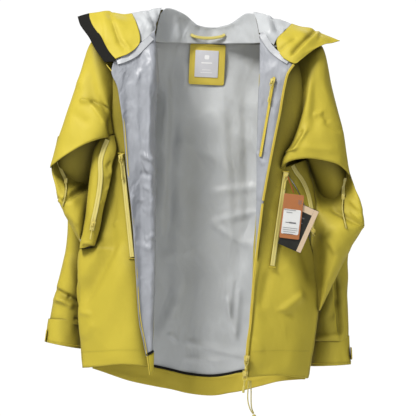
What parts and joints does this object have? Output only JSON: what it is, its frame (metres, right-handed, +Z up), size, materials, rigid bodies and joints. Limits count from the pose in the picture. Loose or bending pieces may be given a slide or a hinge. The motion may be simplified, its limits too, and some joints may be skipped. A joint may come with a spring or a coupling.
{
  "type": "hardshell jacket",
  "caption": "Hooded waterproof mountain jacket hanging open by its neck loop, fronts turned out like lapels, with sliding zips, swinging pulls, cuff tabs and shop tags.",
  "frame": {"origin": "the middle of the hang loop at the back of the neck, where the jacket is held up", "axes": "+Z up, +X towards the wearer's left, -Y the way the wearer faces"},
  "size_m": [0.6726, 0.2623, 0.877],
  "materials": {
    "shell_fabric": "matt citron woven face of a three-layer laminate",
    "shell_trim": "same face fabric, bonded double, slightly darker",
    "tab_plastic": "moulded hook-and-loop tab, matt",
    "lining": "smooth pale grey backer, satin",
    "black_tape": "black brushed tape, matt",
    "zip_tape": "polyurethane-coated water-resistant zip, satin",
    "slider_paint": "zinc slider painted to match",
    "pull_cord": "cord with a moulded rubber grip",
    "loop_cord": "round woven cord",
    "cord_end": "moulded rubber cord end",
    "label_backing": "yellow bonded patch",
    "label_weave": "woven label, satin",
    "tag_card": "coated card, matt",
    "booklet_cover": "coated card booklet, satin",
    "tag_string": "thin red string"
  },
  "bodies": {
    "root": {"back_panel": "shell_fabric", "right_front_panel": "shell_fabric", "left_front_panel": "shell_fabric", "right_gusset": "shell_fabric", "right_side_panel": "shell_fabric", "left_side_panel": "shell_fabric", "right_upper_sleeve": "shell_fabric", "left_upper_sleeve": "shell_fabric", "right_elbow": "shell_fabric", "left_elbow": "shell_fabric", "right_forearm": "shell_fabric", "left_forearm": "shell_fabric", "hood": "shell_fabric", "right_collar_facing": "shell_fabric", "left_collar_facing": "shell_fabric", "right_cuff": "shell_trim", "left_cuff": "shell_trim", "hood_brim": "shell_trim", "back_hem_facing": "shell_trim", "back_collar": "lining", "right_collar_flap": "lining", "left_collar_flap": "lining", "right_front_facing": "lining", "left_front_facing": "lining", "chin_guard": "black_tape", "hem_drawcord_tape": "black_tape", "right_zip_chain": "zip_tape", "left_zip_chain_upper": "zip_tape", "left_zip_chain_lower": "zip_tape", "right_pocket_zip": "zip_tape", "left_pocket_zip": "zip_tape", "chest_pocket_zip": "zip_tape", "right_pit_zip": "zip_tape", "left_pit_zip": "zip_tape", "hang_loop": "loop_cord", "hem_cord_front": "loop_cord", "hem_cord_back": "loop_cord", "hem_cord_end": "cord_end", "label_backing": "label_backing", "neck_label": "label_weave"},
    "front_lower_slider": {"front_lower_slider": "slider_paint"},
    "front_upper_slider": {"front_upper_slider": "slider_paint"},
    "right_pocket_slider": {"right_pocket_slider": "slider_paint"},
    "left_pocket_slider": {"left_pocket_slider": "slider_paint"},
    "chest_pocket_slider": {"chest_pocket_slider": "slider_paint"},
    "right_pit_slider": {"right_pit_slider": "slider_paint"},
    "left_pit_slider": {"left_pit_slider": "slider_paint"},
    "front_upper_pull": {"front_upper_pull": "pull_cord"},
    "front_lower_pull": {"front_lower_pull": "pull_cord"},
    "right_pocket_pull": {"right_pocket_pull": "pull_cord"},
    "left_pocket_pull": {"left_pocket_pull": "pull_cord"},
    "chest_pocket_pull": {"chest_pocket_pull": "pull_cord"},
    "right_pit_pull": {"right_pit_pull": "pull_cord"},
    "left_pit_pull": {"left_pit_pull": "pull_cord"},
    "tag_string": {"tag_string": "tag_string"},
    "swing_tag": {"swing_tag": "tag_card"},
    "booklet_tag": {"booklet_tag": "booklet_cover"},
    "right_cuff_tab": {"right_cuff_tab": "tab_plastic"},
    "left_cuff_tab": {"left_cuff_tab": "tab_plastic"}
  },
  "joints": [
    {"name": "front_lower_zip", "type": "slide", "parent": "root", "child": "front_lower_slider", "axis": [0.0984, 0, 0.9951], "range_m": [0, 0.11]},
    {"name": "front_upper_zip", "type": "slide", "parent": "front_lower_slider", "child": "front_upper_slider", "axis": [0.0984, 0, 0.9951], "range_m": [0, 0.185]},
    {"name": "right_pocket_zip", "type": "slide", "parent": "root", "child": "right_pocket_slider", "axis": [0.1058, -0.0475, -0.9933], "range_m": [0, 0.195]},
    {"name": "left_pocket_zip", "type": "slide", "parent": "root", "child": "left_pocket_slider", "axis": [-0.141, -0.0802, -0.9868], "range_m": [0, 0.176]},
    {"name": "chest_pocket_zip", "type": "slide", "parent": "root", "child": "chest_pocket_slider", "axis": [-0.1719, 0.0446, -0.9841], "range_m": [0, 0.145]},
    {"name": "right_pit_zip", "type": "slide", "parent": "root", "child": "right_pit_slider", "axis": [0.154, -0.095, 0.9835], "range_m": [0, 0.142]},
    {"name": "left_pit_zip", "type": "slide", "parent": "root", "child": "left_pit_slider", "axis": [-0.2273, -0.1456, 0.9629], "range_m": [0, 0.115]},
    {"name": "front_upper_pull_swing", "type": "hinge", "parent": "front_upper_slider", "child": "front_upper_pull", "pos_m": [0.08046, -0.15332, -0.68096], "axis": [-0.9951, 0, 0.0984], "range_deg": [0, 150]},
    {"name": "front_lower_pull_swing", "type": "hinge", "parent": "front_lower_slider", "child": "front_lower_pull", "pos_m": [0.07729, -0.15332, -0.713], "axis": [-0.9951, 0, 0.0984], "range_deg": [0, 150]},
    {"name": "right_pocket_pull_swing", "type": "hinge", "parent": "right_pocket_slider", "child": "right_pocket_pull", "pos_m": [-0.18398, -0.12042, -0.26062], "axis": [-0.9162, 0.3836, -0.1159], "range_deg": [0, 110]},
    {"name": "left_pocket_pull_swing", "type": "hinge", "parent": "left_pocket_slider", "child": "left_pocket_pull", "pos_m": [0.16411, -0.12155, -0.29758], "axis": [-0.9442, -0.2888, 0.1584], "range_deg": [0, 35]},
    {"name": "chest_pocket_pull_swing", "type": "hinge", "parent": "chest_pocket_slider", "child": "chest_pocket_pull", "pos_m": [0.13326, -0.15198, -0.10175], "axis": [-0.9, 0.399, 0.1753], "range_deg": [0, 110]},
    {"name": "right_pit_pull_swing", "type": "hinge", "parent": "right_pit_slider", "child": "right_pit_pull", "pos_m": [-0.24138, -0.11923, -0.39996], "axis": [-0.9793, 0.1173, 0.1647], "range_deg": [0, 90]},
    {"name": "left_pit_pull_swing", "type": "hinge", "parent": "left_pit_slider", "child": "left_pit_pull", "pos_m": [0.22495, -0.07845, -0.4144], "axis": [-0.8104, -0.52, -0.27], "range_deg": [0, 90]},
    {"name": "tag_sway", "type": "hinge", "parent": "left_pocket_slider", "child": "tag_string", "pos_m": [0.167, -0.139, -0.3], "axis": [0, 1, 0], "range_deg": [-8, 8]},
    {"name": "swing_tag_lift", "type": "hinge", "parent": "tag_string", "child": "swing_tag", "pos_m": [0.18, -0.152, -0.3365], "axis": [-1, 0, 0], "range_deg": [0, 75]},
    {"name": "booklet_tag_sway", "type": "hinge", "parent": "tag_string", "child": "booklet_tag", "pos_m": [0.186, -0.147, -0.353], "axis": [0, 1, 0], "range_deg": [-7, 7]},
    {"name": "right_cuff_tab_peel", "type": "hinge", "parent": "root", "child": "right_cuff_tab", "pos_m": [-0.346, 0.047, -0.638], "axis": [0, 0, -1], "range_deg": [0, 100]},
    {"name": "left_cuff_tab_peel", "type": "hinge", "parent": "root", "child": "left_cuff_tab", "pos_m": [0.3065, 0.047, -0.676], "axis": [0, 0, 1], "range_deg": [0, 100]}
  ]
}
